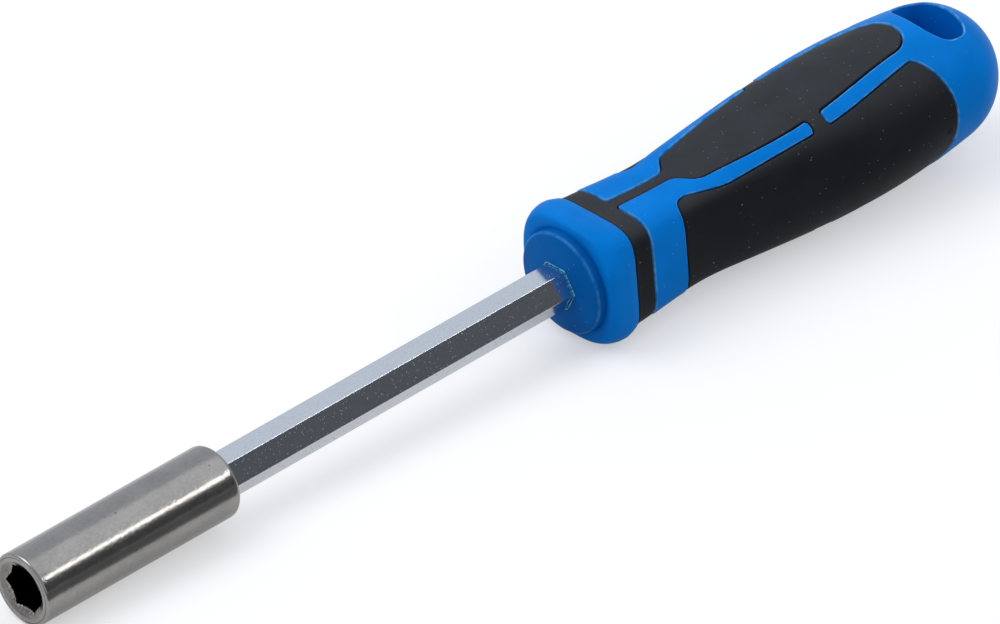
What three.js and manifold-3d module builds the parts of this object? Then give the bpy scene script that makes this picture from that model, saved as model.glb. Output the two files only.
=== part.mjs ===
// Bit driver handle: a hexagon steel shank with a bit sleeve on its front end,
// held in a hard blue handle whose soft grip is moulded flush into recesses.
// Millimetres, +Z up. The tool lies along X with its mouth at +X, and +Z points out of the top panel.
// Distances along the tool are counted from the sleeve's mouth, or inside the handle from the collar's front.
import * as THREE from "three";
import { mergeVertices } from "three/addons/utils/BufferGeometryUtils.js";
import Module from "manifold-3d";

// Bit sleeve
const bladeLength = 100; // from the handle's boss to the sleeve's mouth
const sleeveLength = 36;
const sleeveDiameter = 11;
const sleeveMouthRound = 0.6;
const sleeveBackRound = 1;
const mouthRim = 0.5; // width of the flat ring round the mouth
const bitAcrossFlats = 6.35;
const bitClearance = 0.1;
const socketDepth = 13;
const socketCornerRound = 0.05;
const leadInAngle = 45; // degrees between the lead-in and the axis

// Magnet and retaining ring in the socket
const magnetDiameter = 5.4;
const magnetThickness = 4;
const magnetChamfer = 0.3;
const ringWire = 0.9;
const ringGrip = 0.08; // how far the ring stands in from the socket's flats
const ringFromMouth = 5;
const ringOpening = 50; // degrees

// Hexagon shank
const shankAcrossFlats = 6;
const shankCornerRound = 0.4;
const shankInHandle = 53; // from the collar's front to the tail
const notchWidth = 3;
const notchDepth = 0.3; // below the flats
const notchFromTail = 8;
const notchPitch = 15;

// Inner core, whose front is the boss
const bossDiameter = 15.7;
const bossHeight = 2;
const bossRound = 0.6;
const coreDiameter = 9.8;
const coreFluteDepth = 0.6;
const coreFlutes = 6;
const coreBehindShank = 5;

// Handle body: radii are across the corners, from the axis, at stations behind the collar's front
const collarFrontRadius = 9.7; // of its front face
const collarRadius = 11.1;
const collarRound = 3; // length of the round behind its front face
const throatAt = 6.4;
const throatRadius = 10.28;
const throatSlope = -0.06;
const waistAt = 18.5;
const waistRadius = 9.5;
const shoulderAt = 29;
const shoulderRadius = 10.25;
const shoulderSlope = 0.09;
const bellyAt = 52;
const bellyRadius = 11.65;
const tailAt = 69;
const tailRadius = 10.4;
const tailSlope = -0.13;
const capLength = 9.6;
const capFullness = 2.3;
const poleRadius = 0.3; // of the small flat at the very end
const collarSquareness = 2.8; // superellipse exponents: 2 is round
const frontSquareness = 5;
const rearSquareness = 2.05;
const squareUntil = 8;
const roundFrom = 58;

// Hanging hole: an oval, wider across the tool than along it
const holeLength = 7;
const holeWidth = 11.7;
const holeFullness = 2.5; // superellipse exponent
const holeFromEnd = 9.3;

// Soft grip: places behind the collar's front, and half widths round the handle
const gripThickness = 1.5;
const gripSunk = 0.12; // below the hard ribs
const bandFront = 5.4; // band round the collar
const bandWidth = 3.5;
const neckHalf = 1.3; // strip from the band to the top panel
const panelFront = 18.2;
const panelShoulder = 22.6;
const panelShoulderHalf = 5;
const panelShoulderSlope = 0.11;
const panelWidest = 37;
const panelWidestHalf = 6.05;
const panelTail = 59;
const panelTailHalf = 4;
const panelTailSlope = -0.09;
const panelEndLength = 4; // of its round end
const sideFront = 15.5;
const sideFrontHalf = 9.5;
const sideFrontRound = 2.2;
const sideFrontSlope = -0.25;
const sideWaistFront = 25.5;
const sideWaistRear = 40;
const sideWaistHalf = 7.7;
const sideRear = 59.8;
const sideRearHalf = 9.75;
const sideRearSlope = 0.115;
const sideBow = 4.7; // how far the rear edge bows out
const gateFront = 40.3; // gap in each rib that lets the grip through
const gateWidth = 2.6;
const gateOverlap = 1; // how far the gap runs into the panels that it joins

// Fits
const fitGap = 0.2; // between a piece and the one that holds it
const bondGap = 0.2; // between the grip and its recess

// Resolution
const sidesAround = 36;
const stationStep = 4.4;
const hiddenSides = 28; // on the faces between the grip and the body
const hiddenStep = 7;
const collarSteps = 4;
const capSteps = 7;
const roundSteps = 3;
const outlineSteps = 5; // points on each curve of a panel outline
const cornerSteps = 2;
const holeSides = 40;
const ringSteps = 20;
const overrun = 1; // how far a cut runs past a face

// Derived places
const collarFront = bladeLength + bossHeight;
const handleLength = tailAt + capLength;
const overallLength = collarFront + handleLength;
const socketFlats = bitAcrossFlats + bitClearance;
const leadInRadius = sleeveDiameter / 2 - sleeveMouthRound - mouthRim;
const magnetFront = socketDepth + fitGap;
const shankFront = magnetFront + magnetThickness + fitGap;
const shankTail = collarFront + shankInHandle;
const coreTail = shankTail + coreBehindShank;
const bandRear = bandFront + bandWidth;
const panelEnd = panelTail + panelEndLength;
const sideEnd = sideRear + sideBow;
const gateRear = gateFront + gateWidth;
const gripStart = collarRound;
const gripStop = tailAt - overrun;
const panelRadius = 10; // half widths of the grip's panels are arc lengths at this radius
const cutInside = 2;
const cutOutside = 6 * bellyRadius;

const wasm = await Module();
wasm.setup();

// A closed geometry as a solid, faces out whichever way its profile ran.
function solid(geometry) {
  const bare = geometry.clone();
  bare.deleteAttribute("normal");
  bare.deleteAttribute("uv");
  const merged = mergeVertices(bare, 1e-4);
  const triVerts = new Uint32Array(merged.index.array);
  const vertProperties = merged.attributes.position.array;
  const made = new wasm.Manifold(new wasm.Mesh({ numProp: 3, vertProperties, triVerts }));
  if (made.volume() > 0) return made;
  return new wasm.Manifold(new wasm.Mesh({ numProp: 3, vertProperties, triVerts: triVerts.reverse() }));
}

function geometryOf(made) {
  const mesh = made.getMesh();
  const geometry = new THREE.BufferGeometry();
  geometry.setAttribute("position", new THREE.BufferAttribute(mesh.vertProperties, 3));
  geometry.setIndex(new THREE.BufferAttribute(mesh.triVerts, 1));
  geometry.computeVertexNormals();
  return geometry;
}

const union = (parts) => parts.reduce((sum, part) => sum.add(part));

// A profile of [distance from the mouth, radius] turned about the tool's axis.
function turned(profile, sides = sidesAround) {
  const points = profile.map(([along, radius]) => new THREE.Vector2(radius, -along));
  const geometry = new THREE.LatheGeometry(points, sides);
  const yToX = new THREE.Matrix4().set(0, 1, 0, 0, 0, 0, 1, 0, 1, 0, 0, 0, 0, 0, 0, 1);
  return solid(geometry.applyMatrix4(yToX));
}

// A plain cylinder about the tool's axis.
function cylinder(from, to, radius) {
  return turned([
    [from, 0],
    [from, radius],
    [to, radius],
    [to, 0],
  ]);
}

// A tube about the tool's axis.
function tube(from, to, inner, outer) {
  return turned([
    [from, inner],
    [from, outer],
    [to, outer],
    [to, inner],
    [from, inner],
  ]);
}

// A shape drawn in the plane across the tool, extruded from one distance to another.
function extruded(shape, from, to) {
  const settings = { depth: to - from, bevelEnabled: false, curveSegments: cornerSteps };
  const geometry = new THREE.ExtrudeGeometry(shape, settings);
  const zToX = new THREE.Matrix4().set(0, 0, 1, -to, 1, 0, 0, 0, 0, 1, 0, 0, 0, 0, 0, 1);
  return solid(geometry.applyMatrix4(zToX));
}

// Points of a quarter round about a centre at [along, radius].
function quarterRound(along, radius, size, startAngle) {
  const points = [];
  for (let i = 0; i <= roundSteps; i++) {
    const angle = THREE.MathUtils.degToRad(startAngle - (90 * i) / roundSteps);
    points.push([along + size * Math.cos(angle), radius + size * Math.sin(angle)]);
  }
  return points;
}

// A hexagon with a corner on Y, flats up and down, and rounded corners.
function hexagon(acrossFlats, cornerRound) {
  const shape = new THREE.Shape();
  const centreRadius = (acrossFlats / 2 - cornerRound) / Math.cos(Math.PI / 6);
  for (let i = 0; i < 6; i++) {
    const angle = (i * Math.PI) / 3;
    const x = centreRadius * Math.cos(angle);
    const y = centreRadius * Math.sin(angle);
    shape.absarc(x, y, cornerRound, angle - Math.PI / 6, angle + Math.PI / 6, false);
  }
  shape.closePath();
  return shape;
}

// The shank's section, grown by a gap for the holes that it goes through.
const shankSection = (gap) => hexagon(shankAcrossFlats + 2 * gap, shankCornerRound + gap);

// Steel sleeve: round outside, hexagon socket with a conical lead-in, magnet pocket, shank hole behind.
function makeSleeve() {
  const radius = sleeveDiameter / 2;
  const outer = turned([
    [0, 0],
    ...quarterRound(sleeveMouthRound, radius - sleeveMouthRound, sleeveMouthRound, 180),
    ...quarterRound(sleeveLength - sleeveBackRound, radius - sleeveBackRound, sleeveBackRound, 90),
    [sleeveLength, 0],
  ]);
  const leadInDepth = leadInRadius / Math.tan(THREE.MathUtils.degToRad(leadInAngle));
  const leadIn = turned([
    [-overrun, 0],
    [-overrun, leadInRadius],
    [0, leadInRadius],
    [leadInDepth, 0],
  ]);
  const socket = extruded(hexagon(socketFlats, socketCornerRound), -overrun, socketDepth);
  const pocket = cylinder(socketDepth - overrun, shankFront, magnetDiameter / 2 + fitGap);
  const shankHole = extruded(shankSection(fitGap), shankFront - fitGap, sleeveLength + overrun);
  const grooveHalf = ringWire / 2 + fitGap;
  const grooveRadius = socketFlats / 2 - ringGrip + ringWire + fitGap;
  const groove = cylinder(ringFromMouth - grooveHalf, ringFromMouth + grooveHalf, grooveRadius);
  return outer.subtract(union([leadIn, socket, pocket, shankHole, groove]));
}

// Open ring of round wire in the socket's groove.
function makeRetainingRing() {
  const wireRadius = ringWire / 2;
  const bend = socketFlats / 2 - ringGrip + wireRadius;
  const half = THREE.MathUtils.degToRad(ringOpening / 2);
  const section = new THREE.Shape().absarc(0, 0, wireRadius, 0, 2 * Math.PI, false);
  const arc = new THREE.EllipseCurve(0, 0, bend, bend, half, 2 * Math.PI - half);
  const bends = arc.getPoints(ringSteps).map((p) => new THREE.Vector3(0, p.x, p.y));
  const extrudePath = new THREE.CatmullRomCurve3(bends);
  const settings = { extrudePath, steps: ringSteps, curveSegments: collarSteps, bevelEnabled: false };
  const geometry = new THREE.ExtrudeGeometry(section, settings);
  return solid(geometry.translate(-ringFromMouth, 0, 0));
}

function makeMagnet() {
  const radius = magnetDiameter / 2;
  return turned([
    [magnetFront, 0],
    [magnetFront, radius - magnetChamfer],
    [magnetFront + magnetChamfer, radius],
    [magnetFront + magnetThickness, radius],
    [magnetFront + magnetThickness, 0],
  ]);
}

// The shank, or the space it takes when grown by a gap: a hexagon bar with notches round its tail.
function makeShank(gap = 0) {
  const bar = extruded(shankSection(gap), shankFront - gap, shankTail + gap);
  const floor = shankAcrossFlats / 2 - notchDepth + gap;
  const half = notchWidth / 2 - gap;
  const notches = [0, 1].map((i) => {
    const middle = shankTail - notchFromTail - i * notchPitch;
    return tube(middle - half, middle + half, floor, shankAcrossFlats);
  });
  return bar.subtract(union(notches));
}

// The core's fluted rod, or the bore that it fills when grown by a gap.
function fluteShape(gap) {
  const points = [];
  const count = coreFlutes * 6;
  for (let i = 0; i < count; i++) {
    const angle = (2 * Math.PI * i) / count;
    const hollow = (1 - Math.cos(coreFlutes * angle)) / 2;
    const radius = coreDiameter / 2 + gap - coreFluteDepth * hollow;
    points.push(new THREE.Vector2(radius * Math.cos(angle), radius * Math.sin(angle)));
  }
  return new THREE.Shape(points);
}

// Inner core: the boss disc in front of the collar and the fluted rod that holds the shank.
function makeCore() {
  const radius = bossDiameter / 2;
  const boss = turned([
    [bladeLength, 0],
    ...quarterRound(bladeLength + bossRound, radius - bossRound, bossRound, 180),
    [collarFront - fitGap, radius],
    [collarFront - fitGap, 0],
  ]);
  const rod = extruded(fluteShape(0), collarFront - bossHeight / 2, coreTail);
  const wayOut = extruded(shankSection(fitGap), bladeLength - overrun, collarFront + overrun);
  return boss.add(rod).subtract(makeShank(fitGap)).subtract(wayOut);
}

// Cubic between two stations of [place, radius, slope].
function between(a, b, place) {
  const span = b[0] - a[0];
  const u = (place - a[0]) / span;
  const fade = u * u * (3 - 2 * u);
  const lean = a[2] * u * (1 - u) * (1 - u) - b[2] * u * u * (1 - u);
  return a[1] + (b[1] - a[1]) * fade + span * lean;
}

// Radius across the corners at a place behind the collar's front.
function cornerRadius(place) {
  const stations = [
    [collarRound, collarRadius, 0],
    [throatAt, throatRadius, throatSlope],
    [waistAt, waistRadius, 0],
    [shoulderAt, shoulderRadius, shoulderSlope],
    [bellyAt, bellyRadius, 0],
    [tailAt, tailRadius, tailSlope],
  ];
  if (place <= collarRound) {
    const back = 1 - place / collarRound;
    return collarFrontRadius + (collarRadius - collarFrontRadius) * Math.sqrt(1 - back * back);
  }
  if (place >= tailAt) {
    const k = Math.min(1, (place - tailAt) / capLength);
    return (tailRadius + tailSlope * (place - tailAt)) * Math.sqrt(1 - k ** capFullness);
  }
  const next = stations.findIndex((station) => station[0] > place);
  return between(stations[next - 1], stations[next], place);
}

// The section is a soft square at the collar's front, a firmer one behind it, and round at the rear end.
function squareness(place) {
  const opening = THREE.MathUtils.clamp(place / collarRound, 0, 1);
  const closing = 1 - THREE.MathUtils.smoothstep(place, squareUntil, roundFrom);
  const square = THREE.MathUtils.lerp(collarSquareness, frontSquareness, opening);
  return THREE.MathUtils.lerp(rearSquareness, square, closing);
}

function sectionRadius(place, angle) {
  const power = squareness(place);
  const half = cornerRadius(place) / 2 ** (0.5 - 1 / power);
  const sum = Math.abs(Math.cos(angle)) ** power + Math.abs(Math.sin(angle)) ** power;
  return half * sum ** (-1 / power);
}

// Places of the handle's sections: close together on the rounds, evenly spaced between them.
function stationPlaces(step = stationStep) {
  const places = [];
  const straight = tailAt - collarRound;
  const steps = Math.round(straight / step);
  for (let i = 0; i < collarSteps; i++) {
    places.push(collarRound * (1 - Math.cos((Math.PI * i) / 2 / collarSteps)));
  }
  for (let i = 0; i < steps; i++) {
    places.push(collarRound + (straight * i) / steps);
  }
  for (let i = 0; i < capSteps; i++) {
    places.push(tailAt + capLength * Math.sin((Math.PI * i) / 2 / capSteps));
  }
  return places;
}

// A skin of the handle, inset from its surface, lofted through its sections between two places.
function handleLoft(inset, from, to, sides = sidesAround, step = stationStep) {
  const margin = poleRadius;
  const inside = stationPlaces(step).filter((place) => place > from + margin && place < to - margin);
  const places = [from, ...inside, to];
  const positions = [];
  const indices = [];
  places.forEach((place) => {
    for (let i = 0; i < sides; i++) {
      const angle = (2 * Math.PI * i) / sides;
      const radius = Math.max(sectionRadius(place, angle) - inset, poleRadius);
      positions.push(-collarFront - place, radius * Math.cos(angle), radius * Math.sin(angle));
    }
  });
  for (let row = 0; row < places.length - 1; row++) {
    for (let i = 0; i < sides; i++) {
      const a = row * sides + i;
      const b = row * sides + ((i + 1) % sides);
      indices.push(a, a + sides, b, b, a + sides, b + sides);
    }
  }
  [0, places.length - 1].forEach((row) => {
    const centre = positions.length / 3;
    positions.push(-collarFront - places[row], 0, 0);
    for (let i = 0; i < sides; i++) {
      const a = row * sides + i;
      const b = row * sides + ((i + 1) % sides);
      if (row === 0) indices.push(centre, a, b);
      else indices.push(centre, b, a);
    }
  });
  const geometry = new THREE.BufferGeometry();
  geometry.setAttribute("position", new THREE.Float32BufferAttribute(positions, 3));
  geometry.setIndex(indices);
  return solid(geometry);
}

// An outline's near half, mirrored about the panel's middle line.
function mirrored(half) {
  const other = half.filter((p) => p.y > 1e-6).map((p) => new THREE.Vector2(p.x, -p.y));
  return [...half, ...other.reverse()];
}

// An outline moved outwards by a distance, point by point.
function grown(outline, distance) {
  const count = outline.length;
  const sign = THREE.ShapeUtils.area(outline) > 0 ? 1 : -1;
  return outline.map((point, i) => {
    const before = outline[(i + count - 1) % count];
    const along = outline[(i + 1) % count].clone().sub(before).normalize();
    return new THREE.Vector2(point.x + sign * distance * along.y, point.y - sign * distance * along.x);
  });
}

// An outline of [place, arc length] wrapped round the handle as a wedge with walls along the radius.
function wedge(outline, middleAngle) {
  const count = outline.length;
  const positions = [];
  [cutOutside, cutInside].forEach((radius) => {
    outline.forEach((p) => {
      const angle = THREE.MathUtils.degToRad(middleAngle) + p.y / panelRadius;
      positions.push(-collarFront - p.x, radius * Math.cos(angle), radius * Math.sin(angle));
    });
  });
  const indices = [];
  THREE.ShapeUtils.triangulateShape(outline, []).forEach(([a, b, c]) => {
    indices.push(a, b, c, count + a, count + c, count + b);
  });
  const turn = THREE.ShapeUtils.area(outline) > 0;
  for (let i = 0; i < count; i++) {
    const j = (i + 1) % count;
    const [a, b] = turn ? [i, j] : [j, i];
    indices.push(a, count + a, b, b, count + a, count + b);
  }
  const geometry = new THREE.BufferGeometry();
  geometry.setAttribute("position", new THREE.Float32BufferAttribute(positions, 3));
  geometry.setIndex(indices);
  return solid(geometry);
}

// A long edge of an outline from where the path is to [x, y], leaving and arriving at given slopes.
function edgeTo(path, x, y, leaving, arriving) {
  const third = (x - path.currentPoint.x) / 3;
  const fromX = path.currentPoint.x + third;
  const fromY = path.currentPoint.y + third * leaving;
  return path.bezierCurveTo(fromX, fromY, x - third, y - third * arriving, x, y);
}

// Top panel: a narrow strip from the band, a flared shoulder, a long body and a round end.
function topOutline() {
  const flare = (panelFront + panelShoulder) / 2;
  const flareTop = panelShoulderHalf - panelShoulderSlope * (panelShoulder - flare);
  const half = new THREE.Path();
  half.moveTo((bandFront + bandRear) / 2, neckHalf);
  half.lineTo(panelFront, neckHalf);
  half.bezierCurveTo(flare, neckHalf, flare, flareTop, panelShoulder, panelShoulderHalf);
  edgeTo(half, panelWidest, panelWidestHalf, panelShoulderSlope, 0);
  edgeTo(half, panelTail, panelTailHalf, 0, panelTailSlope);
  const turnX = panelEnd - panelEndLength / 3;
  const turnY = panelTailHalf + panelTailSlope * (turnX - panelTail);
  half.bezierCurveTo(turnX, turnY, panelEnd, panelTailHalf / 2, panelEnd, 0);
  return mirrored(half.getPoints(outlineSteps));
}

// Side panel: a straight front edge, drawn-in upper and lower edges, and a bowed rear edge.
function sideOutline() {
  const turnX = sideRear + sideBow / 3;
  const half = new THREE.Path();
  half.moveTo(sideFront, 0);
  half.lineTo(sideFront, sideFrontHalf - sideFrontRound);
  half.quadraticCurveTo(sideFront, sideFrontHalf, sideFront + sideFrontRound, sideFrontHalf);
  edgeTo(half, sideWaistFront, sideWaistHalf, sideFrontSlope, 0);
  half.lineTo(sideWaistRear, sideWaistHalf);
  edgeTo(half, sideRear, sideRearHalf, 0, sideRearSlope);
  half.bezierCurveTo(turnX, sideRearHalf, sideEnd, sideRearHalf / 2, sideEnd, 0);
  return mirrored(half.getPoints(outlineSteps));
}

// Gap through the rib from a side panel up to the top panel, wider by a growth.
function gateOutline(growth) {
  const quarter = (Math.PI / 2) * panelRadius;
  const low = sideWaistHalf - gateOverlap;
  const high = quarter - panelWidestHalf + gateOverlap;
  return [
    new THREE.Vector2(gateFront - growth, low),
    new THREE.Vector2(gateRear + growth, low),
    new THREE.Vector2(gateRear + growth, high),
    new THREE.Vector2(gateFront - growth, high),
  ];
}

// Everything that the grip covers, wider by a growth: band, top and bottom panels, side panels and gates.
function gripRegion(growth) {
  const bandFrom = collarFront + bandFront - growth;
  const bandTo = collarFront + bandRear + growth;
  const band = tube(bandFrom, bandTo, cutInside, cutOutside);
  const top = grown(topOutline(), growth);
  const side = grown(sideOutline(), growth);
  const gate = gateOutline(growth);
  const gateBelow = gate.map((p) => new THREE.Vector2(p.x, -p.y)).reverse();
  const panels = [wedge(top, 90), wedge(top, -90), wedge(side, 0), wedge(side, 180)];
  const gates = [0, 180].flatMap((angle) => [wedge(gate, angle), wedge(gateBelow, angle)]);
  return union([band, ...panels, ...gates]);
}

// A skin between the collar and the tail, as the faces between the grip and the body follow it.
function hiddenLoft(inset, extra) {
  return handleLoft(inset, gripStart - extra, gripStop + extra, hiddenSides, hiddenStep);
}

// Soft grip: one skin of even thickness, cut to its region.
function makeGrip() {
  const outside = handleLoft(gripSunk, gripStart, gripStop);
  const inside = hiddenLoft(gripThickness, overrun);
  return outside.subtract(inside).intersect(gripRegion(0));
}

// Handle body: the whole form less the grip's recess, the core's bore and the hanging hole.
function makeBody() {
  const whole = handleLoft(0, 0, handleLength);
  const above = hiddenLoft(-gripThickness, bondGap);
  const floor = hiddenLoft(gripThickness + bondGap, overrun);
  const recess = above.subtract(floor).intersect(gripRegion(bondGap));
  const bore = extruded(fluteShape(fitGap), collarFront - overrun, coreTail + fitGap);
  return whole.subtract(recess).subtract(bore).subtract(hangingHole());
}

// The hanging hole runs straight through from top to bottom.
function hangingHole() {
  const reach = bellyRadius + overrun;
  const bent = (value) => Math.sign(value) * Math.abs(value) ** (2 / holeFullness);
  const points = [];
  for (let i = 0; i < holeSides; i++) {
    const angle = (2 * Math.PI * i) / holeSides;
    const along = (holeLength / 2) * bent(Math.cos(angle));
    const across = (holeWidth / 2) * bent(Math.sin(angle));
    points.push(new THREE.Vector2(along, across));
  }
  const settings = { depth: 2 * reach, bevelEnabled: false };
  const geometry = new THREE.ExtrudeGeometry(new THREE.Shape(points), settings);
  return solid(geometry.translate(-overallLength + holeFromEnd, 0, -reach));
}

function meshOf(name, made, colour, roughness, metalness) {
  const material = new THREE.MeshStandardMaterial({ color: colour, roughness, metalness });
  const mesh = new THREE.Mesh(geometryOf(made), material);
  mesh.name = name;
  return mesh;
}

const tool = new THREE.Group();
tool.add(meshOf("bit_sleeve", makeSleeve(), 0x9a948c, 0.38, 1));
tool.add(meshOf("retaining_ring", makeRetainingRing(), 0x8a8680, 0.35, 1));
tool.add(meshOf("socket_magnet", makeMagnet(), 0x6e6c6a, 0.4, 1));
tool.add(meshOf("hex_shank", makeShank(), 0xc4c6c8, 0.18, 1));
tool.add(meshOf("inner_core", makeCore(), 0x0868b8, 0.35, 0));
tool.add(meshOf("handle_body", makeBody(), 0x0071cf, 0.35, 0));
tool.add(meshOf("soft_grip", makeGrip(), 0x24272b, 0.75, 0));

// The axis lies level, with the part's lowest point at zero and its middle over the origin.
const bounds = new THREE.Box3().setFromObject(tool);
tool.position.set(overallLength / 2, 0, -bounds.min.z);

const bitDriver = new THREE.Group();
bitDriver.add(tool);
export default bitDriver;
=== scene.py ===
import math

import bpy
import numpy as np
from mathutils import Matrix, Vector


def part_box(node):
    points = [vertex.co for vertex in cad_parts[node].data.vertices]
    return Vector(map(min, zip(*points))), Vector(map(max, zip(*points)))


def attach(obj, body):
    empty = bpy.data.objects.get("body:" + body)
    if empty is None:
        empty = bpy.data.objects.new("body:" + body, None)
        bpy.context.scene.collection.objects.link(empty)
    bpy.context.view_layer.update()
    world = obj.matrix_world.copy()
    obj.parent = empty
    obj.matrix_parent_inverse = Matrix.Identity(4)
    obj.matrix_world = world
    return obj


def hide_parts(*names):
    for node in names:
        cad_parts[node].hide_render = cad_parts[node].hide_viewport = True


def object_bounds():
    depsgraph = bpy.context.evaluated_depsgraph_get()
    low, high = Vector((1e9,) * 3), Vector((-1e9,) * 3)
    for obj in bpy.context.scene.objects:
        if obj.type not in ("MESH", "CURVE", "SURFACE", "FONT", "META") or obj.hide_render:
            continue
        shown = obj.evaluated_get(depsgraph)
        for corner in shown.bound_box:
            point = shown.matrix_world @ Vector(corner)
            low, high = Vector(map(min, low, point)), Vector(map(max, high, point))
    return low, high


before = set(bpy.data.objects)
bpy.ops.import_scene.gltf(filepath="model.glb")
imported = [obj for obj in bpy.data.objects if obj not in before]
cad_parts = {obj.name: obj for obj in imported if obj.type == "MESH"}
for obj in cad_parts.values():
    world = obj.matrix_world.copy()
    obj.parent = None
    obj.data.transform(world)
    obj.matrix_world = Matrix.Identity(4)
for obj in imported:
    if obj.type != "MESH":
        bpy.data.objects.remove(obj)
cadLow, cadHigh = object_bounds()
print("frame loaded:", *sorted(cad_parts))

# all shapes below are in millimetres about the tool's axis:
# x = 0 at the sleeve's mouth, and minus x towards the handle
mm = 0.001
sleeveLow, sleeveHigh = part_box("bit_sleeve")
mouthX = sleeveHigh.x
axisZ = (sleeveLow.z + sleeveHigh.z) / 2

cameraView = {
    "right": (-0.73340, 0.67642, -0.06766),
    "back": (0.53647, 0.63702, 0.55354),
    "aim": (0.197, -1.024, 0.061),  # from the frame's origin and the tool's axis
    "distance": 3.8437,
    "lens": 1000.0,
    "sensor": 36.0,
    "clip": (0.05, 30.0),
}


def makeCamera(view):
    data = bpy.data.cameras.new("photoCamera")
    data.lens, data.sensor_width = view["lens"], view["sensor"]
    data.clip_start, data.clip_end = view["clip"]
    camera = bpy.data.objects.new("photoCamera", data)
    bpy.context.scene.collection.objects.link(camera)
    back = Vector(view["back"]).normalized()
    right = Vector(view["right"])
    right = (right - back * right.dot(back)).normalized()
    up = back.cross(right)
    aim = Vector((view["aim"][0] * mm, view["aim"][1] * mm, axisZ + view["aim"][2] * mm))
    place = aim + back * view["distance"]
    turn = Matrix((right, up, back)).transposed().to_4x4()
    camera.matrix_world = Matrix.Translation(place) @ turn
    bpy.context.scene.camera = camera


makeCamera(cameraView)
print("camera set")


# node helpers
def newMaterial(name):
    material = bpy.data.materials.new(name)
    material.use_nodes = True
    return material, material.node_tree, material.node_tree.nodes["Principled BSDF"]


def feed(tree, node, inputs):
    # an input takes a value or the output of another node
    for slot, value in inputs.items():
        if isinstance(value, bpy.types.NodeSocket):
            tree.links.new(value, node.inputs[slot])
        else:
            node.inputs[slot].default_value = value


def addNode(tree, kind, inputs=None, **settings):
    node = tree.nodes.new(kind)
    for key, value in settings.items():
        setattr(node, key, value)
    feed(tree, node, inputs or {})
    return node


def objectPlace(tree, scale=(1, 1, 1), turn=(0, 0, 0)):
    coords = addNode(tree, "ShaderNodeTexCoord").outputs["Object"]
    inputs = {"Vector": coords, "Scale": scale, "Rotation": turn}
    return addNode(tree, "ShaderNodeMapping", inputs).outputs["Vector"]


def noise(tree, place, scale, detail=3.0, roughness=0.55):
    inputs = {"Vector": place, "Scale": scale, "Detail": detail, "Roughness": roughness}
    return addNode(tree, "ShaderNodeTexNoise", inputs).outputs["Fac"]


def remap(tree, value, fromLow, fromHigh, toLow, toHigh):
    inputs = {0: value, 1: fromLow, 2: fromHigh, 3: toLow, 4: toHigh}
    return addNode(tree, "ShaderNodeMapRange", inputs).outputs[0]


def combine(tree, how, a, b):
    return addNode(tree, "ShaderNodeMath", {0: a, 1: b}, operation=how).outputs[0]


def mixColor(tree, fac, a, b):
    return addNode(tree, "ShaderNodeMix", {0: fac, 6: a, 7: b}, data_type="RGBA").outputs[2]


def bump(tree, height, strength, distance, below=None):
    inputs = {"Height": height, "Strength": strength, "Distance": distance}
    if below is not None:
        inputs["Normal"] = below
    return addNode(tree, "ShaderNodeBump", inputs).outputs["Normal"]


def specks(tree, place, scale, size, share):
    # small round specks at random cells: share is the part of the cells that hold one
    inputs = {"Vector": place, "Scale": scale, "Randomness": 1.0}
    cells = addNode(tree, "ShaderNodeTexVoronoi", inputs).outputs
    near = remap(tree, cells["Distance"], size * 0.6, size, 1.0, 0.0)
    pick = addNode(tree, "ShaderNodeSeparateColor", {0: cells["Color"]}).outputs[0]
    return combine(tree, "MULTIPLY", near, combine(tree, "LESS_THAN", pick, share))


def pieceMark(tree, mark):
    return addNode(tree, "ShaderNodeAttribute", attribute_name=mark).outputs["Fac"]


def scaled(color, factor, lift=0.0):
    return tuple(min(1.0, c * factor + lift) for c in color) + (1.0,)


# in the looks, scales are cells to the metre, specks are (scale, size, share of the cells)
# and bumps are (strength, distance)
plasticLook = {
    "cloudScale": 160.0, "fineScale": 2600.0,
    "dust": (900.0, 0.09, 0.22), "dustShare": 0.4, "dustColor": (0.35, 0.62, 0.88, 1.0),
    "scuffScale": 900.0, "scuffPatch": 70.0, "scuffShare": 0.5, "scuffColor": (0.10, 0.48, 0.86, 1.0),
    "edgeBreak": 700.0, "edgeWearAndHighlightColor": (0.22, 0.55, 0.86, 1.0),
    "scratchScale": (900.0, 90.0, 420.0), "scratchTurn": (0.4, 0.9, 0.3),
    "fineBump": (0.06, 0.00005), "scratchBump": (0.12, 0.00004),
    "shine": 0.03,
}


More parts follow.
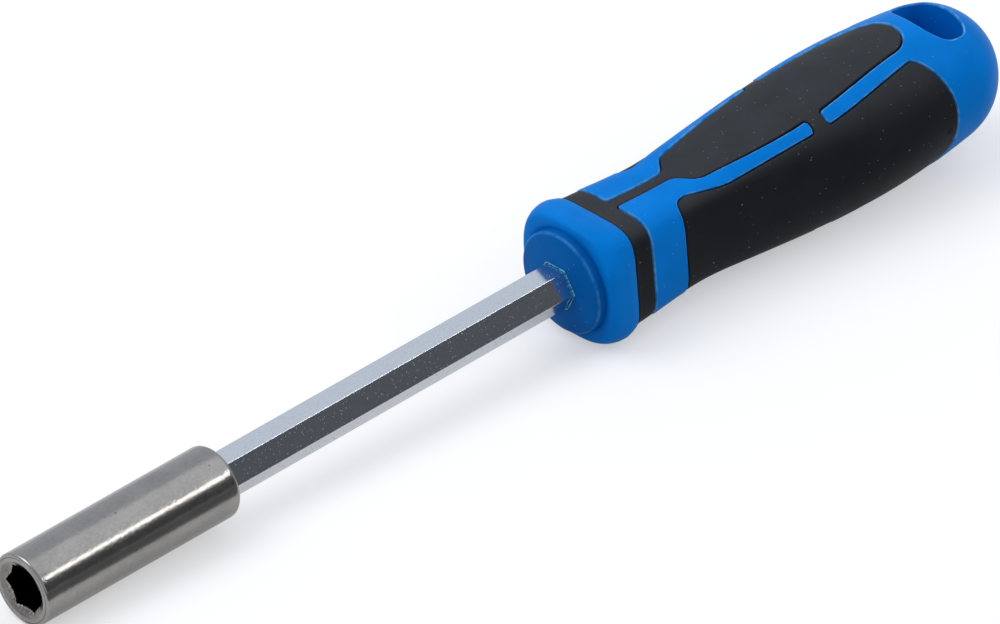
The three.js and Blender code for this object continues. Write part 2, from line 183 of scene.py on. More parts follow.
def bluePlastic(name, color, roughness, edgeLight=0.0):
    look = plasticLook
    material, tree, shader = newMaterial(name)
    place = objectPlace(tree)
    cloud = noise(tree, place, look["cloudScale"], 2.0)
    fine = noise(tree, place, look["fineScale"], 3.0)
    cloudy = remap(tree, cloud, 0.35, 0.65, 0.0, 1.0)
    base = mixColor(tree, cloudy, scaled(color, 0.94), scaled(color, 1.05, 0.001))
    dust = combine(tree, "MULTIPLY", specks(tree, place, *look["dust"]), look["dustShare"])
    base = mixColor(tree, dust, base, look["dustColor"])
    scuff = remap(tree, noise(tree, place, look["scuffScale"], 6.0, 0.8), 0.66, 0.74, 0.0, 1.0)
    patch = remap(tree, noise(tree, place, look["scuffPatch"], 1.0), 0.58, 0.68, 0.0, look["scuffShare"])
    base = mixColor(tree, combine(tree, "MULTIPLY", scuff, patch), base, look["scuffColor"])
    if edgeLight:
        # moulded edges and the hole's lip are a little paler, in broken lines: partly wear, partly a
        # painted highlight
        broken = remap(tree, noise(tree, place, look["edgeBreak"], 3.0), 0.38, 0.62, 0.15, 1.0)
        edge = combine(tree, "MULTIPLY", pieceMark(tree, "edgeWearAndHighlight"), broken)
        base = mixColor(tree, combine(tree, "MULTIPLY", edge, edgeLight), base, look["edgeWearAndHighlightColor"])
    rough = combine(tree, "ADD", remap(tree, cloud, 0.3, 0.7, roughness - 0.04, roughness + 0.04),
                    remap(tree, fine, 0.3, 0.7, -0.03, 0.03))
    scratchPlace = objectPlace(tree, look["scratchScale"], look["scratchTurn"])
    scratch = remap(tree, noise(tree, scratchPlace, 1.0, 1.0), 0.70, 0.76, 0.0, 1.0)
    normal = bump(tree, fine, *look["fineBump"])
    normal = bump(tree, scratch, *look["scratchBump"], normal)
    feed(tree, shader, {"Base Color": base, "Roughness": rough, "Normal": normal,
                        "Specular IOR Level": look["shine"]})
    return material


rubberLook = {
    "cloudScale": 120.0, "grainScale": 5200.0, "grainBump": (0.22, 0.00004),
    "dark": (0.0110, 0.0122, 0.0140, 1.0), "pale": (0.0138, 0.0152, 0.0172, 1.0),
    "topLightAndDustColor": (0.036, 0.039, 0.044, 1.0), "topLightAndDustScale": 260.0,  # paler on what faces up: settled dust together with a painted top highlight
    "dust": (1100.0, 0.11, 0.5), "lint": (520.0, 0.09, 0.4),
    "lintStretch": (1.0, 3.2, 1.0), "lintTurn": (0.3, 0.5, 0.2),
    "speckShare": 0.8, "speckColor": (0.20, 0.21, 0.22, 1.0),
    "pitShadePlace": (-164.69, 10.89, -1.78),  # a small pit in one side, drawn as a black spot of painted shade, in mm from the mouth
    "pitShadeRadius": (0.0005, 0.0007),
    "roughness": (0.48, 0.58), "shine": 0.13,
}


def blackRubber(name):
    look = rubberLook
    material, tree, shader = newMaterial(name)
    place = objectPlace(tree)
    cloud = noise(tree, place, look["cloudScale"], 3.0)
    grain = noise(tree, place, look["grainScale"], 2.0)
    base = mixColor(tree, remap(tree, cloud, 0.35, 0.65, 0.0, 1.0), look["dark"], look["pale"])
    coords = addNode(tree, "ShaderNodeTexCoord").outputs
    facing = addNode(tree, "ShaderNodeSeparateXYZ", {0: coords["Normal"]}).outputs
    # what faces up is painted paler: partly settled dust, partly painted light falling on the top panel
    topLightAndDust = remap(tree, facing["Z"], 0.30, 0.95, 0.0, 1.0)
    uneven = remap(tree, noise(tree, place, look["topLightAndDustScale"], 4.0), 0.3, 0.7, 0.7, 1.0)
    base = mixColor(tree, combine(tree, "MULTIPLY", topLightAndDust, uneven), base, look["topLightAndDustColor"])
    dust = specks(tree, place, *look["dust"])
    lint = specks(tree, objectPlace(tree, look["lintStretch"], look["lintTurn"]), *look["lint"])
    spots = combine(tree, "MULTIPLY", combine(tree, "MAXIMUM", dust, lint), look["speckShare"])
    base = mixColor(tree, spots, base, look["speckColor"])
    x, y, z = look["pitShadePlace"]
    pitShadeAt = {0: coords["Object"], 1: (mouthX + x * mm, y * mm, axisZ + z * mm)}
    fromPitShade = addNode(tree, "ShaderNodeVectorMath", pitShadeAt, operation="DISTANCE").outputs["Value"]
    # the pit has no depth here: the shade inside it is painted black into the colour
    base = mixColor(tree, remap(tree, fromPitShade, *look["pitShadeRadius"], 1.0, 0.0), base, (0.0, 0.0, 0.0, 1.0))
    rough = remap(tree, cloud, 0.3, 0.7, *look["roughness"])
    normal = bump(tree, grain, *look["grainBump"])
    feed(tree, shader, {"Base Color": base, "Roughness": rough, "Normal": normal,
                        "Specular IOR Level": look["shine"]})
    return material


steelLook = {
    "cloudScale": 240.0, "gritScale": 5200.0, "lumpScale": 2300.0, "wipeScale": (1500.0, 2600.0, 2600.0),
    "pits": (420.0, 0.09, 0.14), "pitShare": 0.5, "pitColor": (0.12, 0.11, 0.10, 1.0),
    "rustDark": (0.10, 0.065, 0.035, 1.0), "rustPale": (0.56, 0.49, 0.38, 1.0), "rustScale": 2600.0,
    "paintedShadeColor": (0.006, 0.006, 0.006, 1.0),
    "gritBump": (0.20, 0.00003), "lumpBump": (0.35, 0.00005),
    "pitBump": (0.3, 0.00005), "burrBump": (0.5, 0.00010),
}


def turnedSteel(name, color, roughness):
    look = steelLook
    material, tree, shader = newMaterial(name)
    place = objectPlace(tree)
    cloud = noise(tree, place, look["cloudScale"], 3.0)
    grit = noise(tree, place, look["gritScale"], 3.0)
    wipe = noise(tree, objectPlace(tree, look["wipeScale"]), 1.0, 3.0)
    pits = specks(tree, place, *look["pits"])
    worn = remap(tree, combine(tree, "ADD", cloud, wipe), 0.75, 1.25, 0.0, 1.0)
    base = mixColor(tree, worn, scaled(color, 0.90), scaled(color, 1.08))
    base = mixColor(tree, combine(tree, "MULTIPLY", pits, look["pitShare"]), base, look["pitColor"])
    # brown burrs at the cut edges, and painted shade inside a socket and on its lead-in
    burr = pieceMark(tree, "edgeWearAndHighlight")
    ragged = remap(tree, noise(tree, place, look["rustScale"], 4.0), 0.40, 0.60, 0.0, 1.0)
    base = mixColor(tree, burr, base, mixColor(tree, ragged, look["rustDark"], look["rustPale"]))
    base = mixColor(tree, pieceMark(tree, "paintedShade"), base, look["paintedShadeColor"])
    rough = combine(tree, "ADD", remap(tree, wipe, 0.3, 0.7, roughness - 0.02, roughness + 0.03),
                    remap(tree, grit, 0.3, 0.7, -0.02, 0.03))
    normal = bump(tree, grit, *look["gritBump"])
    normal = bump(tree, noise(tree, place, look["lumpScale"], 2.0), *look["lumpBump"], normal)
    normal = bump(tree, combine(tree, "MULTIPLY", pits, -1.0), *look["pitBump"], normal)
    normal = bump(tree, combine(tree, "MULTIPLY", burr, ragged), *look["burrBump"], normal)
    feed(tree, shader, {"Base Color": base, "Roughness": rough, "Normal": normal, "Metallic": 1.0})
    return material


chromeLook = {
    "grainScale": 7000.0, "cloudScale": 900.0, "grainBump": (0.05, 0.00002),
    "dots": (1600.0, 0.18, 0.85), "strokes": (1000.0, 0.15, 0.75),
    "strokeStretch": (2.4, 0.8, 0.8), "strokeTurn": (0.0, 0.0, 0.5),
    "speckColor": (0.34, 0.345, 0.36, 1.0), "speckMetal": 0.25,
}


def chromePlate(name, color, roughness):
    look = chromeLook
    material, tree, shader = newMaterial(name)
    place = objectPlace(tree)
    grain = noise(tree, place, look["grainScale"], 3.0, 0.7)
    cloud = noise(tree, place, look["cloudScale"], 3.0)
    dots = specks(tree, place, *look["dots"])
    strokes = specks(tree, objectPlace(tree, look["strokeStretch"], look["strokeTurn"]), *look["strokes"])
    marks = combine(tree, "MULTIPLY", combine(tree, "MAXIMUM", dots, strokes),
                    remap(tree, cloud, 0.35, 0.65, 0.4, 1.0))
    grainy = remap(tree, grain, 0.35, 0.65, 0.0, 1.0)
    base = mixColor(tree, grainy, scaled(color, 0.84), scaled(color, 1.0))
    base = mixColor(tree, marks, base, look["speckColor"])
    # the specks are dull, so they show pale on a dark face and dark on a pale one
    metal = remap(tree, marks, 0.0, 1.0, 1.0, look["speckMetal"])
    rough = remap(tree, grain, 0.3, 0.7, roughness - 0.03, roughness + 0.04)
    feed(tree, shader, {"Base Color": base, "Metallic": metal, "Roughness": rough,
                        "Normal": bump(tree, grain, *look["grainBump"])})
    return material


# colour, roughness, and how much paler the edges are, as wear and painted highlight
finishes = {
    "body": bluePlastic("bodyBlue", (0.0, 0.200, 0.665), 0.36, 0.58),
    # the core's blue is darker than the body's: partly its own tone, partly painted shade of its
    # front-facing faces
    "core": bluePlastic("coreBlueShaded", (0.0, 0.118, 0.420), 0.34, 0.16),
    "flash": bluePlastic("flashBlue", (0.12, 0.46, 0.70), 0.22),
    "grip": blackRubber("gripRubber"),
    "sleeve": turnedSteel("sleeveSteel", (0.352, 0.335, 0.315), 0.19),
    "ring": turnedSteel("ringSteel", (0.40, 0.39, 0.37), 0.3),
    "magnet": turnedSteel("magnetFace", (0.16, 0.155, 0.15), 0.4),
    "shank": chromePlate("shankChrome", (0.80, 0.83, 0.87), 0.13),
}
print("materials made:", len(finishes))


# a piece from points in millimetres about the tool's axis
def makePiece(name, points, faces, finish, replaced, normals=None, sharpAngle=None, marks=None):
    place = np.asarray(points, float) * mm + np.array([mouthX, 0.0, axisZ])
    mesh = bpy.data.meshes.new(name)
    mesh.from_pydata(place.tolist(), [], [list(map(int, face)) for face in faces])
    mesh.validate()
    mesh.polygons.foreach_set("use_smooth", np.ones(len(mesh.polygons), bool))
    if sharpAngle is not None:
        mesh.set_sharp_from_angle(angle=math.radians(sharpAngle))
    if normals is not None:
        mesh.normals_split_custom_set_from_vertices(np.asarray(normals, float).tolist())
    for mark, values in (marks or {}).items():
        layer = mesh.attributes.new(mark, "FLOAT", "POINT")
        layer.data.foreach_set("value", np.asarray(values, np.float32))
    mesh.materials.append(finishes[finish])
    piece = bpy.data.objects.new(name, mesh)
    bpy.context.scene.collection.objects.link(piece)
    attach(piece, "root")
    if replaced:
        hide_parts(replaced)
    print("made", name, len(mesh.vertices), "points")


def fullTurn(sides):
    return np.arange(sides) * 2 * math.pi / sides


def unit(vectors):
    return vectors / np.maximum(np.linalg.norm(vectors, axis=-1, keepdims=True), 1e-12)


def smoothStep(x, low, high):
    u = np.clip((x - low) / (high - low), 0.0, 1.0)
    return u * u * (3 - 2 * u)


# handle form: radii across the corners at places behind the collar's front
handleForm = {
    "collarFront": 102.0,
    "collarFrontRadius": 9.7,
    "collarRadius": 11.1,
    "collarRound": 3.0,
    "stations": [(3.0, 11.1, 0.0), (6.4, 10.28, -0.06), (18.5, 9.5, 0.0),
                 (29.0, 10.25, 0.09), (52.0, 11.65, 0.0), (69.0, 10.4, -0.13)],  # place, radius, slope
    "capLength": 9.6,
    "capFullness": 2.3,
    "collarSquareness": 2.8,
    "frontSquareness": 5.0,
    "rearSquareness": 2.05,
    "squareUntil": 8.0,
    "roundFrom": 58.0,
    "boreRadius": 5.1,
    "boreDepth": 58.2,
}
tailAt, tailRadius, tailSlope = handleForm["stations"][-1]
handleEnd = tailAt + handleForm["capLength"]


def cornerRadius(h):
    form = handleForm
    h = np.asarray(h, float)
    back = np.clip(1 - h / form["collarRound"], 0.0, 1.0)
    swell = form["collarRadius"] - form["collarFrontRadius"]
    radius = form["collarFrontRadius"] + swell * np.sqrt(1 - back ** 2)
    for (p0, r0, s0), (p1, r1, s1) in zip(form["stations"], form["stations"][1:]):
        u = (h - p0) / (p1 - p0)
        curve = r0 + (r1 - r0) * u * u * (3 - 2 * u)
        curve = curve + (p1 - p0) * (s0 * u * (1 - u) ** 2 - s1 * u * u * (1 - u))
        radius = np.where((h > p0) & (h <= p1), curve, radius)
    k = np.clip((h - tailAt) / form["capLength"], 0.0, 1.0)
    cap = (tailRadius + tailSlope * (h - tailAt)) * np.sqrt(np.maximum(1 - k ** form["capFullness"], 0.0))
    return np.where(h > tailAt, cap, radius)


def squareness(h):
    form = handleForm
    opening = np.clip(np.asarray(h, float) / form["collarRound"], 0.0, 1.0)
    closing = 1 - smoothStep(np.asarray(h, float), form["squareUntil"], form["roundFrom"])
    square = form["collarSquareness"] + (form["frontSquareness"] - form["collarSquareness"]) * opening
    return form["rearSquareness"] + (square - form["rearSquareness"]) * closing


def halfWidth(h):
    return cornerRadius(h) / 2 ** (0.5 - 1 / squareness(h))


def skinRadius(h, angle):
    power = squareness(h)
    total = np.abs(np.cos(angle)) ** power + np.abs(np.sin(angle)) ** power
    return halfWidth(h) * total ** (-1 / power)


skinClear = 0.004  # keeps the smooth skin inside the box of the CAD
leastRadius = 0.02  # of the last ring at the rear end


def skinPoint(h, angle, lift=0.0):
    radius = np.maximum(skinRadius(h, angle) - skinClear + lift, leastRadius)
    return np.stack([-handleForm["collarFront"] - h, radius * np.cos(angle), radius * np.sin(angle)], -1)


# grip outlines: place behind the collar's front, and arc length round the handle at a radius of 10
gripForm = {
    "arcRadius": 10.0,
    "thickness": 1.5,
    "sunk": 0.12,
    "bedGap": 0.2,
    "halfGap": 0.09,  # half of the fine groove between the two plastics
    "hardRound": 0.22,
    "softRound": 0.28,
    "paleEdge": (0.2, 1.0),  # where the pale line of wear and painted highlight on the hard edge fades, in shares of its round
    "band": (5.4, 8.9),
    "neckHalf": 1.3,
    "neckFillet": 0.6,
    "panel": {"front": 18.2, "shoulder": (22.6, 5.0, 0.11), "widest": (37.0, 6.05),
              "tail": (59.0, 4.0, -0.09), "end": 63.0},
    "flank": {"front": 15.5, "frontHalf": 9.5, "round": 2.2, "slope": -0.25, "waist": (25.5, 40.0, 7.7),
              "rear": (59.8, 9.75, 0.115), "end": 64.5},
    "tuck": 0.115,  # turns the lower ribs a little further under, in radians
    "gate": (40.3, 42.9),
    "gateOverlap": 1.0,
    "gateFillet": 0.55,
    "curveSteps": 14,
}


def bezier(points):
    p0, p1, p2, p3 = (np.array(p, float) for p in points)
    u = np.linspace(0, 1, gripForm["curveSteps"] + 1)[1:, None]
    return (1 - u) ** 3 * p0 + 3 * u * (1 - u) ** 2 * p1 + 3 * u * u * (1 - u) * p2 + u ** 3 * p3


def edgeCurve(start, end, leaving, arriving):
    third = (end[0] - start[0]) / 3
    return bezier([start, (start[0] + third, start[1] + third * leaving),
                   (end[0] - third, end[1] - third * arriving), end])


def mirrored(half):
    other = half[half[:, 1] > 1e-6] * [1, -1]
    return np.vstack([half, other[::-1]])


def panelOutline():
    g, p = gripForm, gripForm["panel"]
    shoulder, tail = p["shoulder"], p["tail"]
    flare = (p["front"] + shoulder[0]) / 2
    flareTop = shoulder[1] - shoulder[2] * (shoulder[0] - flare)
    turnX = p["end"] - (p["end"] - tail[0]) / 3
    turnY = tail[1] + tail[2] * (turnX - tail[0])
    return mirrored(np.vstack([
        [(sum(g["band"]) / 2, g["neckHalf"]), (p["front"], g["neckHalf"])],
        bezier([(p["front"], g["neckHalf"]), (flare, g["neckHalf"]), (flare, flareTop), shoulder[:2]]),
        edgeCurve(shoulder[:2], p["widest"], shoulder[2], 0.0),
        edgeCurve(p["widest"], tail[:2], 0.0, tail[2]),
        bezier([tail[:2], (turnX, turnY), (p["end"], tail[1] / 2), (p["end"], 0.0)]),
    ]))


def flankOutline():
    f = gripForm["flank"]
    corner = (f["front"] + f["round"], f["frontHalf"])
    waistFront, waistRear, waistHalf = f["waist"]
    rear = f["rear"]
    turnX = rear[0] + (f["end"] - rear[0]) / 3
    start = (f["front"], f["frontHalf"] - f["round"])
    knee = (f["front"], f["frontHalf"])
    pull = 2 / 3
    lead, trail = ([a + (b - a) * pull for a, b in zip(end, knee)] for end in (start, corner))
    return mirrored(np.vstack([
        [(f["front"], 0.0), start],
        bezier([start, lead, trail, corner]),
        edgeCurve(corner, (waistFront, waistHalf), f["slope"], 0.0),
        edgeCurve((waistRear, waistHalf), rear[:2], 0.0, rear[2]),
        bezier([rear[:2], (turnX, rear[1]), (f["end"], rear[1] / 2), (f["end"], 0.0)]),
    ]))


def outlineDistance(x, y, outline):
    nearest = np.full(x.shape, 1e9)
    inside = np.zeros(x.shape, bool)
    for (x0, y0), (x1, y1) in zip(outline, np.roll(outline, -1, axis=0)):
        dx, dy = x1 - x0, y1 - y0
        if dx * dx + dy * dy < 1e-12:
            continue
        u = np.clip(((x - x0) * dx + (y - y0) * dy) / (dx * dx + dy * dy), 0.0, 1.0)
        nearest = np.minimum(nearest, (x - x0 - u * dx) ** 2 + (y - y0 - u * dy) ** 2)
        inside ^= ((y0 > y) != (y1 > y)) & (x < x0 + (y - y0) * dx / (dy if dy else 1e-12))
    return np.where(inside, -1.0, 1.0) * np.sqrt(nearest)


def roundUnion(a, b, radius):
    u, v = np.maximum(radius - a, 0.0), np.maximum(radius - b, 0.0)
    return np.maximum(radius, np.minimum(a, b)) - np.hypot(u, v)


topShape, sideShape = panelOutline(), flankOutline()


def gripDistance(h, angle):  # below 0 inside the grip
    g = gripForm
    fold = np.arctan2(np.abs(np.sin(angle)), np.abs(np.cos(angle)))
    fold = fold - g["tuck"] * np.sin(2 * fold) * (np.sin(angle) < 0)
    sideArc = fold * g["arcRadius"]
    topArc = (math.pi / 2 - fold) * g["arcRadius"]
    panels = np.minimum(outlineDistance(h, topArc, topShape), outlineDistance(h, sideArc, sideShape))
    low = g["flank"]["waist"][2] - g["gateOverlap"]
    high = math.pi / 2 * g["arcRadius"] - g["panel"]["widest"][1] + g["gateOverlap"]
    gx = np.abs(h - sum(g["gate"]) / 2) - (g["gate"][1] - g["gate"][0]) / 2
    gy = np.abs(sideArc - (low + high) / 2) - (high - low) / 2
    gate = np.hypot(np.maximum(gx, 0.0), np.maximum(gy, 0.0)) + np.minimum(np.maximum(gx, gy), 0.0)
    band = np.abs(h - sum(g["band"]) / 2) - (g["band"][1] - g["band"][0]) / 2
    return roundUnion(roundUnion(panels, gate, g["gateFillet"]), band, g["neckFillet"])


# hanging hole: an oval whose lip is softly broken
holeForm = {
    "fromEnd": 9.3,
    "halfLength": 3.5,
    "halfWidth": 5.85,
    "fullness": 2.5,
    "lip": 0.38,
    "lipDrop": 0.55,
    "margin": 0.75,  # width of the smooth skin laid round the lip
    "rimReach": 0.02,
    "skinRings": 3,
    "lipRings": 6,
    "wallRings": 6,
}
holeAt = handleEnd - holeForm["fromEnd"]


def holeScale(along, across):  # 1 on the hole's outline
    f = holeForm
    power = f["fullness"]
    total = np.abs(along / f["halfLength"]) ** power + np.abs(across / f["halfWidth"]) ** power
    return total ** (1 / power)


def holeDistance(h, angle):
    along, across = h - holeAt, skinRadius(h, angle) * np.cos(angle)
    size = holeScale(along, across)
    return np.hypot(along, across) * (1 - 1 / np.maximum(size, 1e-6))


# a skin is a net of triangles in place and angle, which is then cut along level lines of a field
gridForm = {
    "collarRows": 14, "straightStep": 0.56, "capRows": 26, "columns": 128,
    "wallSnap": 0.13, "roundSnap": 0.10, "holeSnap": 0.14,  # points this near a line move onto it
}


def handleNet():
    g, f = gridForm, handleForm
    collar = f["collarRound"] * (1 - np.cos(np.linspace(0, math.pi / 2, g["collarRows"] + 1)[:-1]))
    steps = round((tailAt - f["collarRound"]) / g["straightStep"])
    straight = np.linspace(f["collarRound"], tailAt, steps + 1)[:-1]
    cap = tailAt + f["capLength"] * np.sin(np.linspace(0, math.pi / 2, g["capRows"] + 1))
    rows = np.concatenate([collar, straight, cap])
    h, angle = np.meshgrid(rows, fullTurn(g["columns"]), indexing="ij")
    index = np.arange(h.size).reshape(h.shape)
    a, b = index[:-1], index[1:]
    c, d = np.roll(index, -1, axis=1)[:-1], np.roll(index, -1, axis=1)[1:]
    odd = (np.add.outer(np.arange(a.shape[0]), np.arange(a.shape[1])) % 2).astype(bool)
    first = np.where(odd[..., None], np.stack([a, b, c], -1), np.stack([a, b, d], -1)).reshape(-1, 3)
    second = np.where(odd[..., None], np.stack([c, b, d], -1), np.stack([a, d, c], -1)).reshape(-1, 3)
    return {"h": h.ravel(), "angle": angle.ravel(), "tris": np.vstack([first, second]),
            "kept": np.zeros(h.size, bool), "rows": len(rows)}


def edgesOf(tris):
    return np.vstack([tris[:, [0, 1]], tris[:, [1, 2]], tris[:, [2, 0]]])


def fieldSlope(field, h, angle):
    step = 0.02
    arc = gripForm["arcRadius"]
    alongH = (field(h + step, angle) - field(h - step, angle)) / (2 * step)
    alongArc = (field(h, angle + step / arc) - field(h, angle - step / arc)) / (2 * step)
    return alongH, alongArc


def cutAlong(net, field, level, reach):
    h, angle, tris, kept = net["h"], net["angle"], net["tris"], net["kept"]
    value = field(h, angle) - level
    near = np.where((np.abs(value) < reach) & ~kept)[0]
    for _ in range(3):  # points close to the line move onto it
        if not len(near):
            break
        gap = field(h[near], angle[near]) - level
        gh, ga = fieldSlope(field, h[near], angle[near])
        size = np.maximum(gh * gh + ga * ga, 0.05)
        h[near] -= gap * gh / size
        angle[near] -= gap * ga / size / gripForm["arcRadius"]
    kept[near] = True
    value = field(h, angle) - level
    value[near] = 0.0
    value[np.abs(value) < 1e-5] = 0.0
    sign = np.sign(value).astype(int)
    corner = sign[tris]
    crossing = (corner.max(1) > 0) & (corner.min(1) < 0)
    cut, rest = tris[crossing], tris[~crossing]
    pairs = edgesOf(cut)
    pairs = pairs[sign[pairs[:, 0]] * sign[pairs[:, 1]] < 0]
    pairs = np.unique(np.sort(pairs, axis=1), axis=0)
    i, j = pairs[:, 0], pairs[:, 1]
    turn = (angle[j] - angle[i] + math.pi) % (2 * math.pi) - math.pi
    low, high = np.zeros(len(i)), np.ones(len(i))
    for _ in range(14):  # halving finds where each edge meets the line
        middle = (low + high) / 2
        found = np.sign(field(h[i] + middle * (h[j] - h[i]), angle[i] + middle * turn) - level)
        same = found == sign[i]
        low, high = np.where(same, middle, low), np.where(same, high, middle)
    middle = (low + high) / 2
    fresh = dict(zip(map(tuple, pairs.tolist()), range(len(h), len(h) + len(i))))
    net["h"] = np.concatenate([h, h[i] + middle * (h[j] - h[i])])
    net["angle"] = np.concatenate([angle, angle[i] + middle * turn])
    net["kept"] = np.concatenate([kept, np.ones(len(i), bool)])
    made = []
    for tri in cut.tolist():
        signs = [sign[v] for v in tri]
        k = signs.index(0 if 0 in signs else -sum(signs))  # the corner on the line, or alone on its side
        a, b, c = tri[k:] + tri[:k]
        if 0 in signs:
            m = fresh[min(b, c), max(b, c)]
            made += [(a, b, m), (a, m, c)]
        else:
            m, n = fresh[min(a, b), max(a, b)], fresh[min(a, c), max(a, c)]
            made += [(a, m, n), (m, b, c), (m, c, n)]
    net["tris"] = np.vstack([rest, np.array(made, int).reshape(-1, 3)])
    return np.concatenate([value == 0.0, np.ones(len(i), bool)])  # which points lie on the line


def roundLevels(radius):
    return [radius * (1 - math.cos(math.radians(a))) for a in (30, 60)]


def edgeDrop(depth, radius):
    # height and slope of a quarter round that starts at the groove
    x = np.clip(depth, 0.0, radius)
    rise = np.sqrt(np.maximum(radius ** 2 - (radius - x) ** 2, 0.0))
    slope = np.where(depth < radius, (radius - x) / np.maximum(rise, radius * 0.12), 0.0)
    return rise - radius, slope


def skinNormals(h, angle, slope, side):
    step, turn = 0.01, 0.001
    inner = np.clip(h, 0.002, handleEnd - 0.05)
    alongH = unit(skinPoint(inner + step, angle) - skinPoint(inner - step, angle))
    alongA = skinPoint(inner, angle + turn) - skinPoint(inner, angle - turn)
    arc = np.maximum(np.linalg.norm(alongA, axis=-1), 1e-9) / (2 * turn)
    alongA = unit(alongA)
    normal = unit(np.cross(alongH, alongA))
    gh, ga = fieldSlope(gripDistance, h, angle)
    lean = gh[:, None] * alongH + (ga * gripForm["arcRadius"] / arc)[:, None] * alongA
    return unit(normal - (side * slope)[:, None] * unit(lean))


def borderOf(tris):
    edges = edgesOf(tris)
    _, place, count = np.unique(np.sort(edges, axis=1), axis=0, return_index=True, return_counts=True)
    return edges[place[count == 1]]


def faceNormals(points, faces):
    normals = np.zeros_like(points)
    for size in (3, 4):
        some = np.array([f for f in faces if len(f) == size], int)
        first = points[some[:, 0]]
        for k in range(1, size - 1):
            n = np.cross(points[some[:, k]] - first, points[some[:, k + 1]] - first)
            for v in (0, k, k + 1):
                np.add.at(normals, some[:, v], n)
    return unit(normals)


def zipLoops(loopA, turnA, loopB, turnB):
    # triangles between two closed loops sorted by angle
    faces, i, j = [], 0, 0
    na, nb = len(loopA), len(loopB)
    while i < na or j < nb:
        nextA = turnA[(i + 1) % na] + (2 * math.pi if i + 1 >= na else 0.0)
        nextB = turnB[(j + 1) % nb] + (2 * math.pi if j + 1 >= nb else 0.0)
        if j >= nb or (i < na and nextA <= nextB):
            faces.append((loopA[(i + 1) % na], loopA[i % na], loopB[j % nb]))
            i += 1
        else:
            faces.append((loopB[j % nb], loopB[(j + 1) % nb], loopA[i % na]))
            j += 1
    return faces


def topHeight(h, y):
    power = squareness(h)
    return np.maximum(halfWidth(h) ** power - np.abs(y) ** power, 1e-9) ** (1 / power)


def holeWall(points, loop, side):
    # skin, lip and wall of the hanging hole from one mouth down to the middle plane
    f = holeForm
    rim = points[loop]
    along, across = -handleForm["collarFront"] - rim[:, 0] - holeAt, rim[:, 1]
    turn = np.arctan2(across, along)
    order = np.argsort(turn)
    loop, turn, along, across = np.asarray(loop)[order], turn[order], along[order], across[order]
    size = holeScale(along, across)
    reach = np.hypot(along, across) / size  # from the hole's middle to its outline
    wayX, wayY = along / size / reach, across / size / reach

    def skinAt(d):
        return topHeight(holeAt + d * wayX, d * wayY)

    rings = []
    outer, lipStart = reach * size, reach + f["lip"]
    for u in np.linspace(0, 1, f["skinRings"] + 1)[1:]:
        d = outer + (lipStart - outer) * u
        rings.append((d, skinAt(d)))
    lipTop, step = skinAt(lipStart), 0.01
    lean = (skinAt(lipStart + step) - lipTop) / step
    bend = lipTop - lean * f["lip"]
    for u in np.linspace(0, 1, f["lipRings"] + 1)[1:]:
        d = (1 - u) ** 2 * lipStart + (2 * u * (1 - u) + u * u) * reach
        z = (1 - u) ** 2 * lipTop + 2 * u * (1 - u) * bend + u * u * (bend - f["lipDrop"])
        rings.append((d, z))
    foot = rings[-1][1]
    for u in np.linspace(0, 1, f["wallRings"] + 1)[1:]:
        rings.append((reach, foot * (1 - u)))
    middle = -handleForm["collarFront"] - holeAt
    made = [np.stack([middle - d * wayX, d * wayY, side * z], -1) for d, z in rings]
    return loop, turn, made


def cutGripEdge(edge, radius, side):
    # net cut along the grip's edge and the round beside it: side 1 for hard plastic, -1 for soft
    net = handleNet()
    wall = cutAlong(net, gripDistance, edge, gridForm["wallSnap"])
    cutAlong(net, gripDistance, edge + side * radius, gridForm["roundSnap"])
    for x in roundLevels(radius):
        cutAlong(net, gripDistance, edge + side * x, 0.0)
    return net, wall


def fromEdge(net, wall, edge):
    onWall = np.zeros(len(net["h"]), bool)
    onWall[:len(wall)] = wall
    return onWall, np.where(onWall, edge, gripDistance(net["h"], net["angle"]))


def usedOnly(points, faces, *values):
    used = np.zeros(len(points), bool)
    for face in faces:
        used[list(face)] = True
    renumber = np.cumsum(used) - 1
    faces = [tuple(int(renumber[v]) for v in face) for face in faces]
    return points[used], faces, *(value[used] for value in values)


